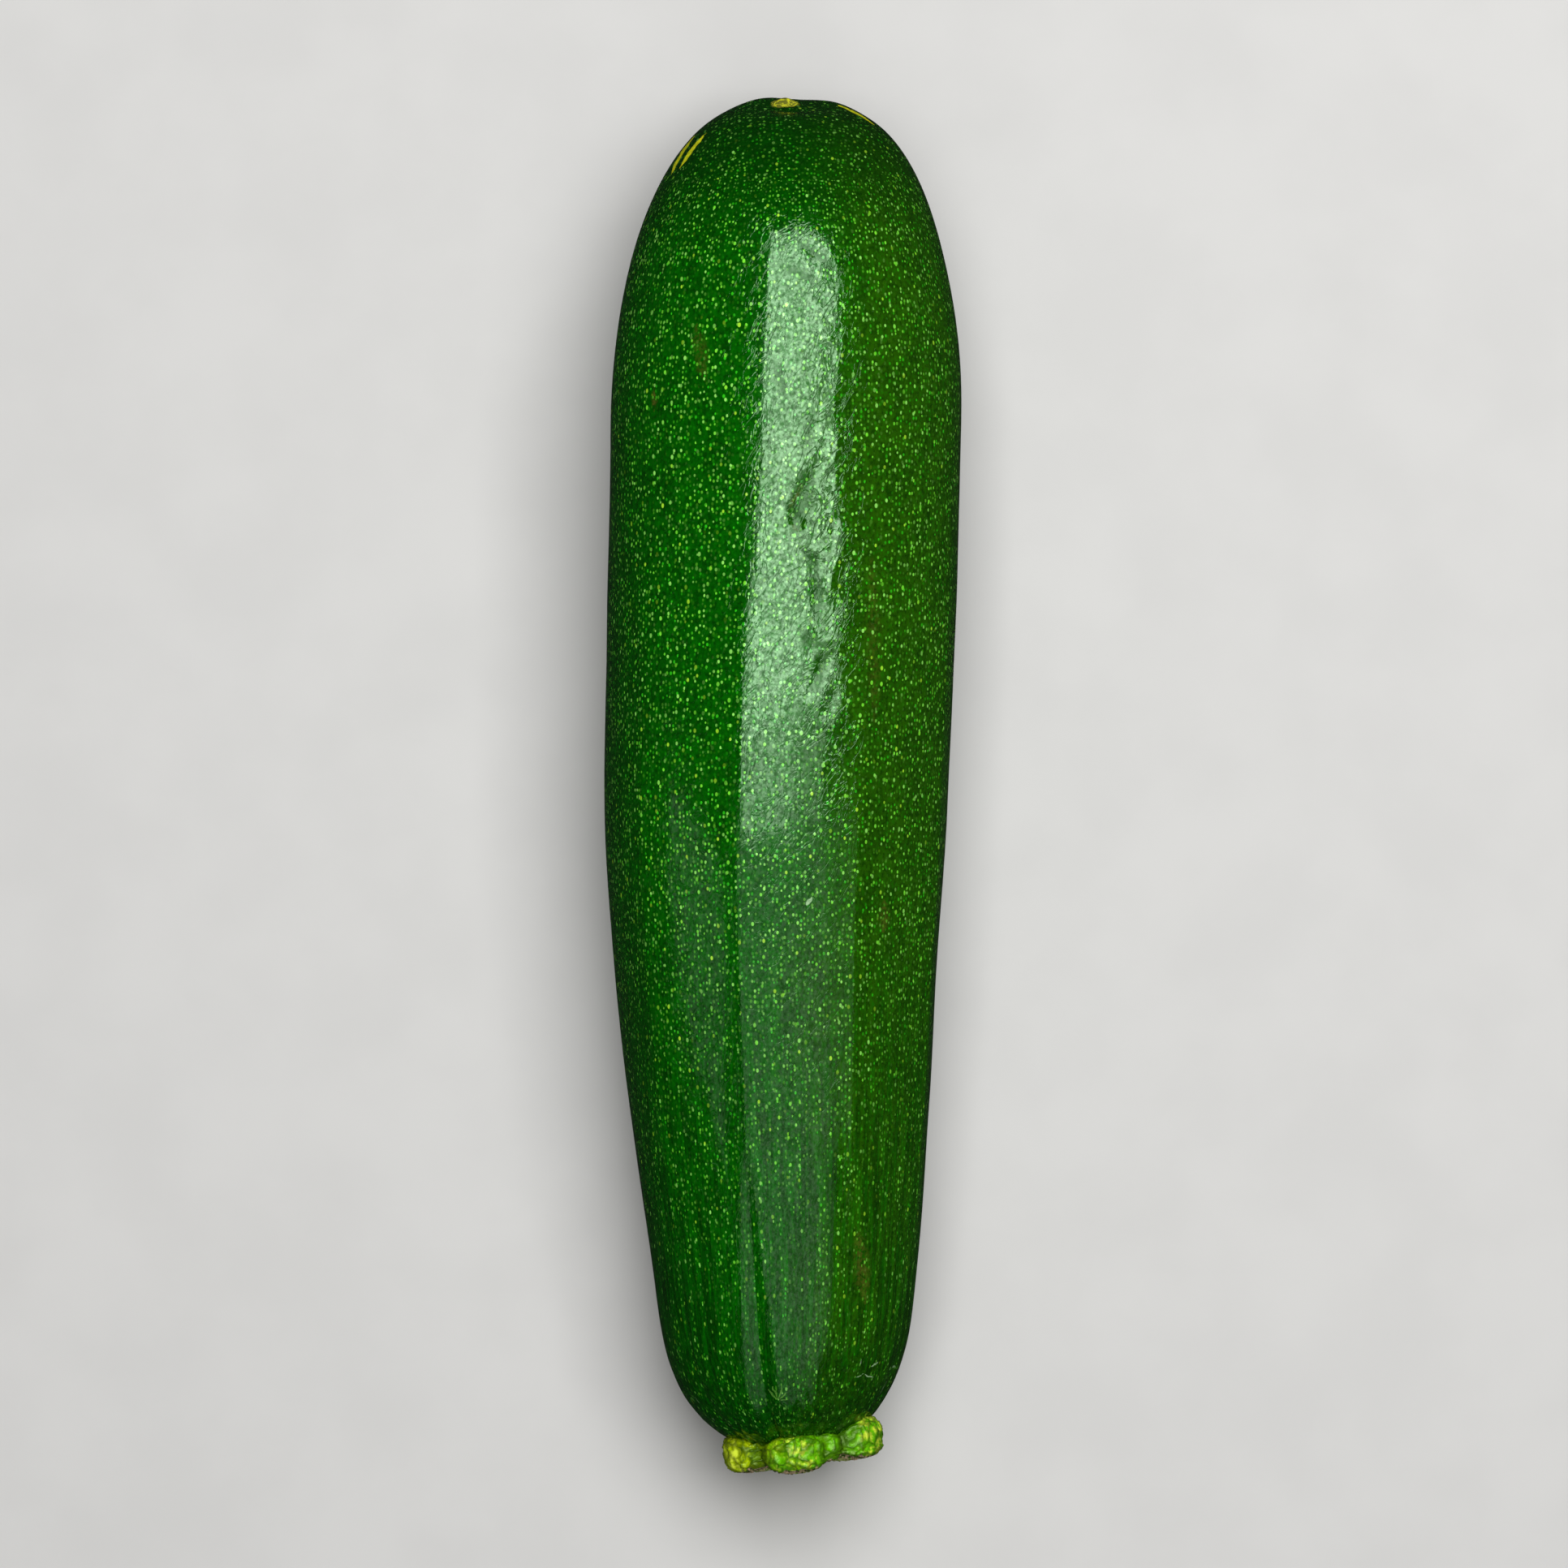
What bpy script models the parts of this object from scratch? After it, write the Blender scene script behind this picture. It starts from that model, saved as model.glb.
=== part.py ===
"""A whole courgette lying on its side: the fruit, and the lobed stub of stem that the cut left on it.

Metres, +Z up. The blossom end points along +Y and the stem along -Y. The origin is on the surface that the
courgette lies on, under the middle of its bounding box.
"""

import math

import bmesh
import bpy
import numpy as np
from mathutils import Vector, noise

MM = 0.001
DEG = math.pi / 180

# Fruit. Distances along it run from the blossom end. Angles round it run from the top, positive towards +X.
FRUIT_LENGTH = 195.0 * MM
FRUIT_WIDTH = 51.2 * MM
HEIGHT_SHARE = 0.965  # a section's height over its width

DOME_LENGTH = 48.0 * MM  # blossom end to full width
DOME_POWER = 0.68  # under 1 makes the dome blunter than an ellipse
TAPER_START = 85.0 * MM
TAPER_SPAN = 88.5 * MM
TAPER_LOSS = 6.2 * MM  # of radius, at the end of the span
TAPER_POWER = 1.65
SHOULDER_START = 171.3 * MM
SHOULDER_SPAN = 25.0 * MM
SHOULDER_POWER = 3.1
SHOULDER_ROUNDNESS = 2.2

# The fruit's own axis: a slight bow towards -X, a turn towards +X and a lift at both ends
BOW = 1.5 * MM
BOW_MIDDLE = 113.0 * MM
BOW_SPAN = 46.0 * MM
BLOSSOM_TURN = 0.5 * MM
BLOSSOM_TURN_SPAN = 22.0 * MM
STEM_TURN = 1.0 * MM
STEM_TURN_SPAN = 14.0 * MM
END_LIFT = 2.0 * MM
END_LIFT_SPAN = 100.0 * MM
REST_MIDDLE = 96.0 * MM
REST_DEPTH = 0.4 * MM  # how much of the underside is pressed flat

# Both end faces lean: the stem's towards -X, the blossom end's upwards
STEM_SLANT = 3.0 * DEG
STEM_SLANT_SPAN = 19.0 * MM
BLOSSOM_SLANT = 15.0 * DEG
BLOSSOM_SLANT_SPAN = 12.0 * MM

# Ribs: the angle of the groove between each two, in degrees, and its depth beside the others
GROOVES = (
    (-92, 0.8),
    (-52, 0.9),
    (-13, 1.25),
    (29, 1.0),
    (70, 0.8),
    (107, 0.9),
    (136, 0.8),
    (164, 0.7),
    (196, 0.8),
    (232, 0.9),
)
GROOVE_WIDTH = 6.5 * DEG
GROOVE_DEPTH_BLOSSOM = 0.10 * MM
GROOVE_DEPTH_STEM = 0.75 * MM
GROOVE_LIMIT = 0.06  # of the radius, which keeps the grooves shallow at both ends
GROOVES_DEEPEN = (125.0 * MM, 188.0 * MM)
FLATNESS_BLOSSOM = 0.10  # of each rib's face: 0 is round, 1 is flat
FLATNESS_STEM = 0.60
FACES_FLATTEN = (40.0 * MM, 140.0 * MM)

# Uneven growth, and the blossom end's dimple with the corky scar raised in it
SWELL_HEIGHT = 0.30 * MM
SWELL_SIZE = 24.0 * MM
SWELL_FADE = 10.0 * MM  # a thinner section than this swells less
DIMPLE_DEPTH = 0.7 * MM
DIMPLE_RADIUS = 5.5 * MM
SCAR_HEIGHT = 0.5 * MM
SCAR_RADIUS = 2.3 * MM
SCAR_PIT_DEPTH = 0.25 * MM
SCAR_PIT_RADIUS = 0.9 * MM

# Stem stub. Out is away from its own axis, and up is along it, away from the fruit's end.
STUB_LOBE_OUT = 11.4 * MM
STUB_WAIST_OUT = 8.7 * MM
STUB_LOBE_UP = 3.5 * MM
STUB_WAIST_UP = 2.3 * MM
STUB_LOBE_DOWN = 2.9 * MM
STUB_WAIST_DOWN = 0.7 * MM
STUB_SQUARENESS = 0.5  # of its section: 1 is an ellipse, 0 a rectangle
STUB_DISH = 0.8 * MM  # hollow of the cut face
# Each lobe: its angle and half width in degrees, and its reach out, up and down, where 1 is the size above
STUB_LOBES = (
    (-76, 27, 1.05, 0.9, 1.1),
    (-8, 27, 0.95, 1.4, 0.5),
    (23, 12, 0.55, 0.4, 0.4),
    (68, 26, 1.10, 0.8, 1.3),
    (140, 28, 0.95, 1.0, 0.8),
    (212, 28, 1.00, 1.1, 0.9),
)
STUB_KNOB_HEIGHT = 0.35 * MM
STUB_KNOB_SIZE = 3.2 * MM
STUB_KNOB_FADE = 4.0 * MM  # nearer the axis than this the knobs push out less
STUB_SLANT = 7.0 * DEG
STUB_OFFSET = 1.4 * MM  # towards +X, from the middle of the fruit's end
JOINT_GAP = 0.3 * MM  # between the fruit and the stub

# Mesh fineness
FRUIT_SEGMENTS = 60
DOME_RINGS = 19
BODY_RINGS = 21
SHOULDER_RINGS = 8
STUB_SEGMENTS = 56
STUB_RINGS = 14

SKIN_COLOUR = (0.020, 0.130, 0.012)
SKIN_ROUGHNESS = 0.32
STEM_COLOUR = (0.36, 0.48, 0.05)
STEM_ROUGHNESS = 0.45


def bell(distance, width):
    """1 in the middle, falling smoothly to nothing."""
    return np.exp(-((distance / width) ** 2))


def smoothstep(low, high, value):
    share = np.clip((value - low) / (high - low), 0, 1)
    return share * share * (3 - 2 * share)


def mix(a, b, share):
    return a + (b - a) * share


def body_radius(along):
    """Half the plain fruit's width, without ribs or the rounding at either end."""
    into_taper = np.clip((along - TAPER_START) / TAPER_SPAN, 0, None)
    return FRUIT_WIDTH / 2 - TAPER_LOSS * into_taper**TAPER_POWER


def end_rounding(along):
    """The share of the body's radius that is left at each distance from the blossom end."""
    into_dome = np.clip(1 - along / DOME_LENGTH, 0, 1)
    dome = (1 - into_dome**2) ** (DOME_POWER / 2)
    into_shoulder = np.clip((along - SHOULDER_START) / SHOULDER_SPAN, 0, 1)
    return dome * (1 - into_shoulder**SHOULDER_POWER) ** (1 / SHOULDER_ROUNDNESS)


def rib_relief(angle, along, radius):
    """How far the ribs' flattened faces and the grooves between them lie below the round section."""
    flatness = mix(FLATNESS_BLOSSOM, FLATNESS_STEM, smoothstep(*FACES_FLATTEN, along))
    depth = mix(GROOVE_DEPTH_BLOSSOM, GROOVE_DEPTH_STEM, smoothstep(*GROOVES_DEEPEN, along))
    depth = np.minimum(depth, radius * GROOVE_LIMIT)
    relief = np.zeros_like(angle)
    for (start, start_depth), (end, end_depth) in zip(GROOVES, GROOVES[1:] + GROOVES[:1]):
        width = (end - start) % 360
        into = (np.degrees(angle) - start) % 360
        half = width / 2 * DEG
        off_centre = np.abs(into - width / 2) * DEG
        face = radius * flatness * (1 - math.cos(half) / np.cos(np.minimum(off_centre, half)))
        side = np.where(into < width / 2, start_depth, end_depth)
        groove = depth * side * bell(half - off_centre, GROOVE_WIDTH)
        relief = np.where(into <= width, face + groove, relief)
    return relief


def fruit_axis(along):
    """Where the fruit's axis runs, sideways and up, for its underside to lie straight."""
    bow = BLOSSOM_TURN * bell(along, BLOSSOM_TURN_SPAN) - BOW * bell(along - BOW_MIDDLE, BOW_SPAN)
    into_turn = np.clip(1 - (FRUIT_LENGTH - along) / STEM_TURN_SPAN, 0, 1)
    body = body_radius(along)
    underside = body - rib_relief(np.full_like(along, math.pi), along, body)
    lift = END_LIFT * ((along - REST_MIDDLE) / END_LIFT_SPAN) ** 2
    return bow + STEM_TURN * into_turn**2, underside * HEIGHT_SHARE + lift


def swell(points):
    """Low uneven swellings of the growing fruit."""
    return SWELL_HEIGHT * np.array([noise.noise(Vector(point) / SWELL_SIZE) for point in points])


def scar_relief(from_pole):
    """How far the blossom end stands out along the axis."""
    dimple = DIMPLE_DEPTH * bell(from_pole, DIMPLE_RADIUS)
    scar = SCAR_HEIGHT * bell(from_pole**2, SCAR_RADIUS**2)
    return scar - dimple - SCAR_PIT_DEPTH * bell(from_pole, SCAR_PIT_RADIUS)


def end_slant(along, x, z):
    """How far the two leaning end faces move each point along the fruit."""
    stem = smoothstep(FRUIT_LENGTH - STEM_SLANT_SPAN, FRUIT_LENGTH, along)
    return math.tan(STEM_SLANT) * stem * x - math.tan(BLOSSOM_SLANT) * bell(along, BLOSSOM_SLANT_SPAN) * z


def fruit_surface(angle, along):
    """Points of the fruit's skin, lying on the surface z = 0, with the blossom end at y = 0."""
    plain = body_radius(along) * end_rounding(along)
    radius = plain - rib_relief(angle, along, plain)
    points = np.stack([radius * np.sin(angle), -along, radius * np.cos(angle)], axis=1)
    radius = radius + swell(points) * np.minimum(1, plain / SWELL_FADE)
    x = radius * np.sin(angle)
    z = radius * np.cos(angle) * HEIGHT_SHARE
    scar = scar_relief(radius) * bell(along, BLOSSOM_SLANT_SPAN)
    y = scar + end_slant(along, x, z) - along
    sideways, up = fruit_axis(along)
    return np.stack([sideways + x, y, np.maximum(up + z, REST_DEPTH) - REST_DEPTH], axis=1)


def fruit_stations():
    """The distance along the fruit of each ring of points, from pole to pole, and its share of the radius."""
    turns = np.arange(DOME_RINGS) / DOME_RINGS
    dome = DOME_LENGTH * (1 - np.cos(math.pi / 2 * turns**1.5))
    body = np.linspace(DOME_LENGTH, SHOULDER_START, BODY_RINGS, endpoint=False)
    shoulder = mix(SHOULDER_START, FRUIT_LENGTH, np.linspace(0, 1, SHOULDER_RINGS) ** 0.8)
    # The end face, under the stub, is closed by one more ring and the pole
    along = np.concatenate([dome, body, shoulder, [FRUIT_LENGTH] * 2])
    share = np.ones_like(along)
    share[-2:] = (0.5, 0)
    return along, share


def ball(segments, rings):
    """A sphere's mesh, with each vertex's angle round it and its ring, counted from the pole."""
    mesh = bmesh.new()
    bmesh.ops.create_uvsphere(mesh, u_segments=segments, v_segments=rings, radius=1)
    corners = np.array([vertex.co for vertex in mesh.verts])
    angle = np.arctan2(corners[:, 0], corners[:, 1])
    ring = np.rint(np.arccos(np.clip(corners[:, 2], -1, 1)) / math.pi * rings).astype(int)
    return mesh, angle, ring


def shaped(name, mesh, points, collection):
    """Moves the sphere's vertices to the points and makes an object of it."""
    for vertex, point in zip(mesh.verts, points):
        vertex.co = point
    bmesh.ops.recalc_face_normals(mesh, faces=mesh.faces)
    data = bpy.data.meshes.new(name)
    mesh.to_mesh(data)
    mesh.free()
    data.shade_smooth()
    made = bpy.data.objects.new(name, data)
    collection.objects.link(made)
    return made


def make_fruit(collection):
    """The fruit, and the middle of its end face, where the stem sits."""
    stations, share = fruit_stations()
    mesh, angle, ring = ball(FRUIT_SEGMENTS, len(stations) - 1)
    sideways, up = fruit_axis(np.array([FRUIT_LENGTH]))
    seat = np.array([sideways[0], -FRUIT_LENGTH, up[0] - REST_DEPTH])
    points = mix(seat, fruit_surface(angle, stations[ring]), share[ring][:, None])
    return shaped("fruit", mesh, points, collection), Vector(seat)


def lobe_reach(angle):
    """How far the stub reaches out, up and down at each angle: 0 in a waist, about 1 on a lobe."""
    most = np.zeros((3, len(angle)))
    for middle, half_width, *reach in STUB_LOBES:
        off = (np.degrees(angle) - middle + 180) % 360 - 180
        most = np.maximum(most, np.outer(reach, bell(off**2, half_width**2)))
    return most


def stub_surface(angle, ring):
    """Points of the unseated stub: a lobed disc with rounded rims and a dished, knobbly cut face."""
    turn = math.pi * ring / STUB_RINGS
    level = np.sign(np.cos(turn)) * np.abs(np.cos(turn)) ** STUB_SQUARENESS
    spread = np.sin(turn) ** STUB_SQUARENESS
    reach_out, reach_up, reach_down = lobe_reach(angle)
    radius = spread * mix(STUB_WAIST_OUT, STUB_LOBE_OUT, reach_out)
    above = level * mix(STUB_WAIST_UP, STUB_LOBE_UP, reach_up) - STUB_DISH * (1 - spread**2)
    height = np.where(level > 0, above, level * mix(STUB_WAIST_DOWN, STUB_LOBE_DOWN, reach_down))
    points = np.stack([radius * np.sin(angle), radius * np.cos(angle), height], axis=1)
    knobs = STUB_KNOB_HEIGHT * np.array([noise.noise(Vector(point) / STUB_KNOB_SIZE) for point in points])
    points[:, :2] *= (1 + knobs / np.maximum(radius, STUB_KNOB_FADE))[:, None]
    points[:, 2] += knobs
    return points


def make_stem_stub(collection, seat):
    mesh, angle, ring = ball(STUB_SEGMENTS, STUB_RINGS)
    stub = shaped("stem_stub", mesh, stub_surface(angle, ring), collection)
    stub.location = seat + Vector((STUB_OFFSET, 0, 0))
    stub.rotation_euler = (math.pi / 2, 0, STUB_SLANT)
    return stub


def seat_on_fruit(stub, fruit, cutters):
    """Hollows the stub's foot to the fruit's shoulder, leaving the gap between them."""
    cutter = fruit.copy()
    cutter.name = "fruit_clearance"
    cutters.objects.link(cutter)
    cutter.hide_render = True
    cutter.display_type = "WIRE"
    grow = cutter.modifiers.new("gap", "DISPLACE")
    grow.strength = JOINT_GAP
    grow.mid_level = 0
    cut = stub.modifiers.new("seat", "BOOLEAN")
    cut.operation = "DIFFERENCE"
    cut.object = cutter
    cut.solver = "EXACT"


def give_material(part, name, colour, roughness):
    made = bpy.data.materials.new(name)
    made.use_nodes = True
    shader = made.node_tree.nodes["Principled BSDF"]
    shader.inputs["Base Color"].default_value = (*colour, 1)
    shader.inputs["Roughness"].default_value = roughness
    shader.inputs["Metallic"].default_value = 0
    part.data.materials.append(made)


def centre_on_origin(parent, parts):
    """Moves the whole courgette so that the middle of its bounding box's foot is the origin."""
    graph = bpy.context.evaluated_depsgraph_get()
    graph.update()
    solids = [part.evaluated_get(graph) for part in parts]
    corners = np.array([solid.matrix_world @ v.co for solid in solids for v in solid.data.vertices])
    low, high = corners.min(axis=0), corners.max(axis=0)
    middle = (low + high) / 2
    parent.location = (-middle[0], -middle[1], -low[2])


def main():
    for old in list(bpy.data.objects):
        bpy.data.objects.remove(old)
    collection = bpy.data.collections.new("courgette")
    cutters = bpy.data.collections.new("cutters")
    for made in (collection, cutters):
        bpy.context.scene.collection.children.link(made)
    parent = bpy.data.objects.new("courgette", None)
    collection.objects.link(parent)
    fruit, seat = make_fruit(collection)
    stub = make_stem_stub(collection, seat)
    fruit.parent = parent
    stub.parent = parent
    seat_on_fruit(stub, fruit, cutters)
    give_material(fruit, "skin", SKIN_COLOUR, SKIN_ROUGHNESS)
    give_material(stub, "stem", STEM_COLOUR, STEM_ROUGHNESS)
    centre_on_origin(parent, (fruit, stub))


main()
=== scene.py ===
"""Looks of a courgette: its waxy, speckled skin and its knobbly stub of cut stem, on a pale floor from above.

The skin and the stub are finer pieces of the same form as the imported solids, so the forms' named values are
the same as the solids' own. Metres, +Z up. The blossom end points along +Y.
"""

import math

import bpy
import numpy as np
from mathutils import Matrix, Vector, noise
from mathutils.bvhtree import BVHTree

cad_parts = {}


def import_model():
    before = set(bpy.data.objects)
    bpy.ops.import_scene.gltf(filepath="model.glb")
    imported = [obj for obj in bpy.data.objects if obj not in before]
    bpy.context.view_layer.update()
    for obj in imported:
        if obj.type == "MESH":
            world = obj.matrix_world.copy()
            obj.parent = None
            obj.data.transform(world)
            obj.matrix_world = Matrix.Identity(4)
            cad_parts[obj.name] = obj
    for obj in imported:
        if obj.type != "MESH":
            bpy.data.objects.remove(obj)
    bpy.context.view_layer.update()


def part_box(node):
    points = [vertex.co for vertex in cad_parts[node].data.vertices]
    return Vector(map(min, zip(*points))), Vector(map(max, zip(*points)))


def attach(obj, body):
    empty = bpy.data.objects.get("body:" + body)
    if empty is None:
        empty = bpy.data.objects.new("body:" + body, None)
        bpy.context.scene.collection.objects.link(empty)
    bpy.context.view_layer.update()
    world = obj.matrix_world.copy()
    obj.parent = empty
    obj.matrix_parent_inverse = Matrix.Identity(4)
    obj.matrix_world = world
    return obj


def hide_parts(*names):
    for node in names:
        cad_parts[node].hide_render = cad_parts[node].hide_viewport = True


MM = 0.001
DEG = math.pi / 180

# Form of the fruit, as in the solid
FRUIT_LENGTH = 195.0 * MM
FRUIT_WIDTH = 51.2 * MM
HEIGHT_SHARE = 0.965
DOME_LENGTH = 48.0 * MM
DOME_POWER = 0.68
TAPER_START = 85.0 * MM
TAPER_SPAN = 88.5 * MM
TAPER_LOSS = 6.2 * MM
TAPER_POWER = 1.65
SHOULDER_START = 171.3 * MM
SHOULDER_SPAN = 25.0 * MM
SHOULDER_POWER = 3.1
SHOULDER_ROUNDNESS = 2.2
BOW = 1.5 * MM
BOW_MIDDLE = 113.0 * MM
BOW_SPAN = 46.0 * MM
BLOSSOM_TURN = 0.5 * MM
BLOSSOM_TURN_SPAN = 22.0 * MM
STEM_TURN = 1.0 * MM
STEM_TURN_SPAN = 14.0 * MM
END_LIFT = 2.0 * MM
END_LIFT_SPAN = 100.0 * MM
REST_MIDDLE = 96.0 * MM
REST_DEPTH = 0.4 * MM
STEM_SLANT = 3.0 * DEG
STEM_SLANT_SPAN = 19.0 * MM
BLOSSOM_SLANT = 15.0 * DEG
BLOSSOM_SLANT_SPAN = 12.0 * MM
# Grooves between the ribs: angle from the top in degrees, and depth as a share of the full one
GROOVES = (
    (-92, 0.8),
    (-52, 0.9),
    (-13, 1.25),
    (29, 1.0),
    (70, 0.8),
    (107, 0.9),
    (136, 0.8),
    (164, 0.7),
    (196, 0.8),
    (232, 0.9),
)
GROOVE_WIDTH = 6.5 * DEG
GROOVE_DEPTH_BLOSSOM = 0.10 * MM
GROOVE_DEPTH_STEM = 0.75 * MM
GROOVE_LIMIT = 0.06
GROOVES_DEEPEN = (125.0 * MM, 188.0 * MM)
FLATNESS_BLOSSOM = 0.10
FLATNESS_STEM = 0.60
FACES_FLATTEN = (40.0 * MM, 140.0 * MM)
SWELL_HEIGHT = 0.30 * MM
SWELL_SIZE = 24.0 * MM
SWELL_FADE = 10.0 * MM
DIMPLE_DEPTH = 0.7 * MM
DIMPLE_RADIUS = 5.5 * MM
SCAR_HEIGHT = 0.5 * MM
SCAR_RADIUS = 2.3 * MM
SCAR_PIT_DEPTH = 0.25 * MM
SCAR_PIT_RADIUS = 0.9 * MM

# Form of the stem stub, as in the solid
STUB_LOBE_OUT = 11.4 * MM
STUB_WAIST_OUT = 8.7 * MM
STUB_LOBE_UP = 3.5 * MM
STUB_WAIST_UP = 2.3 * MM
STUB_LOBE_DOWN = 2.9 * MM
STUB_WAIST_DOWN = 0.7 * MM
STUB_SQUARENESS = 0.5
STUB_DISH = 0.8 * MM
# Lobes: angle from the top and half width in degrees, then how far each reaches outwards, up to the cut
# face and down over the fruit, as shares
STUB_LOBES = (
    (-76, 27, 1.05, 0.9, 1.1),
    (-8, 27, 0.95, 1.4, 0.5),
    (23, 12, 0.55, 0.4, 0.4),
    (68, 26, 1.10, 0.8, 1.3),
    (140, 28, 0.95, 1.0, 0.8),
    (212, 28, 1.00, 1.1, 0.9),
)
STUB_SLANT = 7.0 * DEG
STUB_OFFSET = 1.4 * MM

# Fine relief of the skin. A squeeze draws a pattern out along the axis where it is below 1
PEEL_HEIGHT = 0.009 * MM
PEEL_SIZE = 3.2 * MM
RIPPLE_HEIGHT = 0.030 * MM
RIPPLE_SIZE = 8.0 * MM
RIPPLE_SQUEEZE = (1, 0.7, 1)
WRINKLE_HEIGHT = 0.060 * MM
WRINKLE_WIDTH = 1.6 * MM
WRINKLE_LENGTH = 30.0 * MM
WRINKLES_START = (110.0 * MM, 185.0 * MM)
# Creases that run to the stem: angle in degrees, depth and where they begin and are at their deepest
CREASES = (
    (-13, 0.35 * MM, 140 * MM, 175 * MM),
    (-40, 0.16 * MM, 148 * MM, 172 * MM),
    (-52, 0.20 * MM, 155 * MM, 180 * MM),
    (29, 0.12 * MM, 150 * MM, 185 * MM),
    (70, 0.20 * MM, 150 * MM, 185 * MM),
)
CREASE_WIDTH = 1.6 * DEG
CREASE_WANDER = 0.6 * DEG
CREASE_WANDER_LENGTH = 11 * MM
# Crumpled skin along the top: the middle pixel of the photograph, and its half width and half length
CRUMPLE_MIDDLE = (1012, 560)
CRUMPLE_SPREAD = (3.4 * MM, 34.0 * MM)
CRUMPLE_HEIGHT = 0.16 * MM
CRUMPLE_SIZE = 3.4 * MM
CRUMPLE_SQUEEZE = (1, 0.45, 1)
# Finer folds on the crumpled skin, with their height as a share of the crumples'
FOLD_SIZE = CRUMPLE_SIZE / 2.3
FOLD_SQUEEZE = (1, 0.6, 1)
FOLD_SHARE = 0.5
# Dents: middle pixel, half width and half length, turn in degrees, depth
DENTS = (
    ((989, 620), 1.5 * MM, 4.8 * MM, -16, 0.34 * MM),
    ((981, 642), 0.8 * MM, 2.4 * MM, 30, 0.18 * MM),
    ((1007, 735), 0.8 * MM, 5.6 * MM, 5, 0.26 * MM),
    ((998, 690), 0.6 * MM, 2.4 * MM, 38, 0.16 * MM),
    ((996, 530), 0.8 * MM, 3.6 * MM, -10, 0.18 * MM),
    ((962, 470), 0.6 * MM, 3.0 * MM, 20, 0.12 * MM),
    ((985, 338), 3.6 * MM, 0.7 * MM, -25, 0.13 * MM),
    ((1004, 312), 3.0 * MM, 0.6 * MM, -35, 0.12 * MM),
    ((1010, 830), 0.7 * MM, 3.4 * MM, -20, 0.18 * MM),
    ((806, 493), 0.6 * MM, 1.3 * MM, 0, 0.08 * MM),
)
# Bumps round the blossom scar: right of and above the pole, radius, height
END_BUMPS = (
    (-0.7 * MM, -1.2 * MM, 1.5 * MM, 0.65 * MM),
    (-3.4 * MM, -3.6 * MM, 4.2 * MM, 0.75 * MM),
    (5.4 * MM, -4.0 * MM, 3.4 * MM, 0.40 * MM),
)
RELIEF_FADE = 2 * MM  # above the floor, where the relief fades out

# Mesh fineness. The crowdings draw the rings in to the ends, where the form turns fastest
FRUIT_SEGMENTS = 240
DOME_RINGS = 100
DOME_CROWDING = 1.5
BODY_RINGS = 200
SHOULDER_RINGS = 60
SHOULDER_CROWDING = 0.8
FACE_RINGS = 12
STUB_SEGMENTS = 320
STUB_RINGS = 124

# The photograph's frame: pixels to metres
PIXEL = 0.118 * MM
PHOTO_SIDE = 1932
PIXEL_X_ZERO = 964.5
PIXEL_Y_ZERO = 968.5
SILHOUETTE_HEIGHT = 24.0 * MM
CAMERA_DISTANCE = 1.30
SENSOR = 36.0  # mm


def bell(distance, width):
    """1 at no distance, falling off smoothly over the width."""
    return np.exp(-((distance / width) ** 2))


def smoothstep(low, high, value):
    share = np.clip((value - low) / (high - low), 0, 1)
    return share * share * (3 - 2 * share)


def mix(a, b, share):
    return a + (b - a) * share


def degrees_off(angle, middle):
    """How far the angle is from the middle, in degrees from -180 to 180."""
    return (np.degrees(angle) - middle + 180) % 360 - 180


def body_radius(along):
    into_taper = np.clip((along - TAPER_START) / TAPER_SPAN, 0, None)
    return FRUIT_WIDTH / 2 - TAPER_LOSS * into_taper**TAPER_POWER


def end_rounding(along):
    into_dome = np.clip(1 - along / DOME_LENGTH, 0, 1)
    dome = (1 - into_dome**2) ** (DOME_POWER / 2)
    into_shoulder = np.clip((along - SHOULDER_START) / SHOULDER_SPAN, 0, 1)
    return dome * (1 - into_shoulder**SHOULDER_POWER) ** (1 / SHOULDER_ROUNDNESS)


def rib_relief(angle, along, radius):
    flatness = mix(FLATNESS_BLOSSOM, FLATNESS_STEM, smoothstep(*FACES_FLATTEN, along))
    depth = mix(GROOVE_DEPTH_BLOSSOM, GROOVE_DEPTH_STEM, smoothstep(*GROOVES_DEEPEN, along))
    depth = np.minimum(depth, radius * GROOVE_LIMIT)
    relief = np.zeros_like(angle)
    for (start, start_depth), (end, end_depth) in zip(GROOVES, GROOVES[1:] + GROOVES[:1]):
        width = (end - start) % 360
        into = (np.degrees(angle) - start) % 360
        half = width / 2 * DEG
        off_centre = np.abs(into - width / 2) * DEG
        face = radius * flatness * (1 - math.cos(half) / np.cos(np.minimum(off_centre, half)))
        side = np.where(into < width / 2, start_depth, end_depth)
        groove = depth * side * bell(half - off_centre, GROOVE_WIDTH)
        relief = np.where(into <= width, face + groove, relief)
    return relief


def fruit_axis(along):
    bow = BLOSSOM_TURN * bell(along, BLOSSOM_TURN_SPAN) - BOW * bell(along - BOW_MIDDLE, BOW_SPAN)
    into_turn = np.clip(1 - (FRUIT_LENGTH - along) / STEM_TURN_SPAN, 0, 1)
    body = body_radius(along)
    underside = body - rib_relief(np.full_like(along, math.pi), along, body)
    lift = END_LIFT * ((along - REST_MIDDLE) / END_LIFT_SPAN) ** 2
    return bow + STEM_TURN * into_turn**2, underside * HEIGHT_SHARE + lift


def noise_at(points, size):
    return np.array([noise.noise(Vector(point) / size) for point in points])


def scar_relief(from_pole):
    dimple = DIMPLE_DEPTH * bell(from_pole, DIMPLE_RADIUS)
    scar = SCAR_HEIGHT * bell(from_pole**2, SCAR_RADIUS**2)
    return scar - dimple - SCAR_PIT_DEPTH * bell(from_pole, SCAR_PIT_RADIUS)


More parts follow.
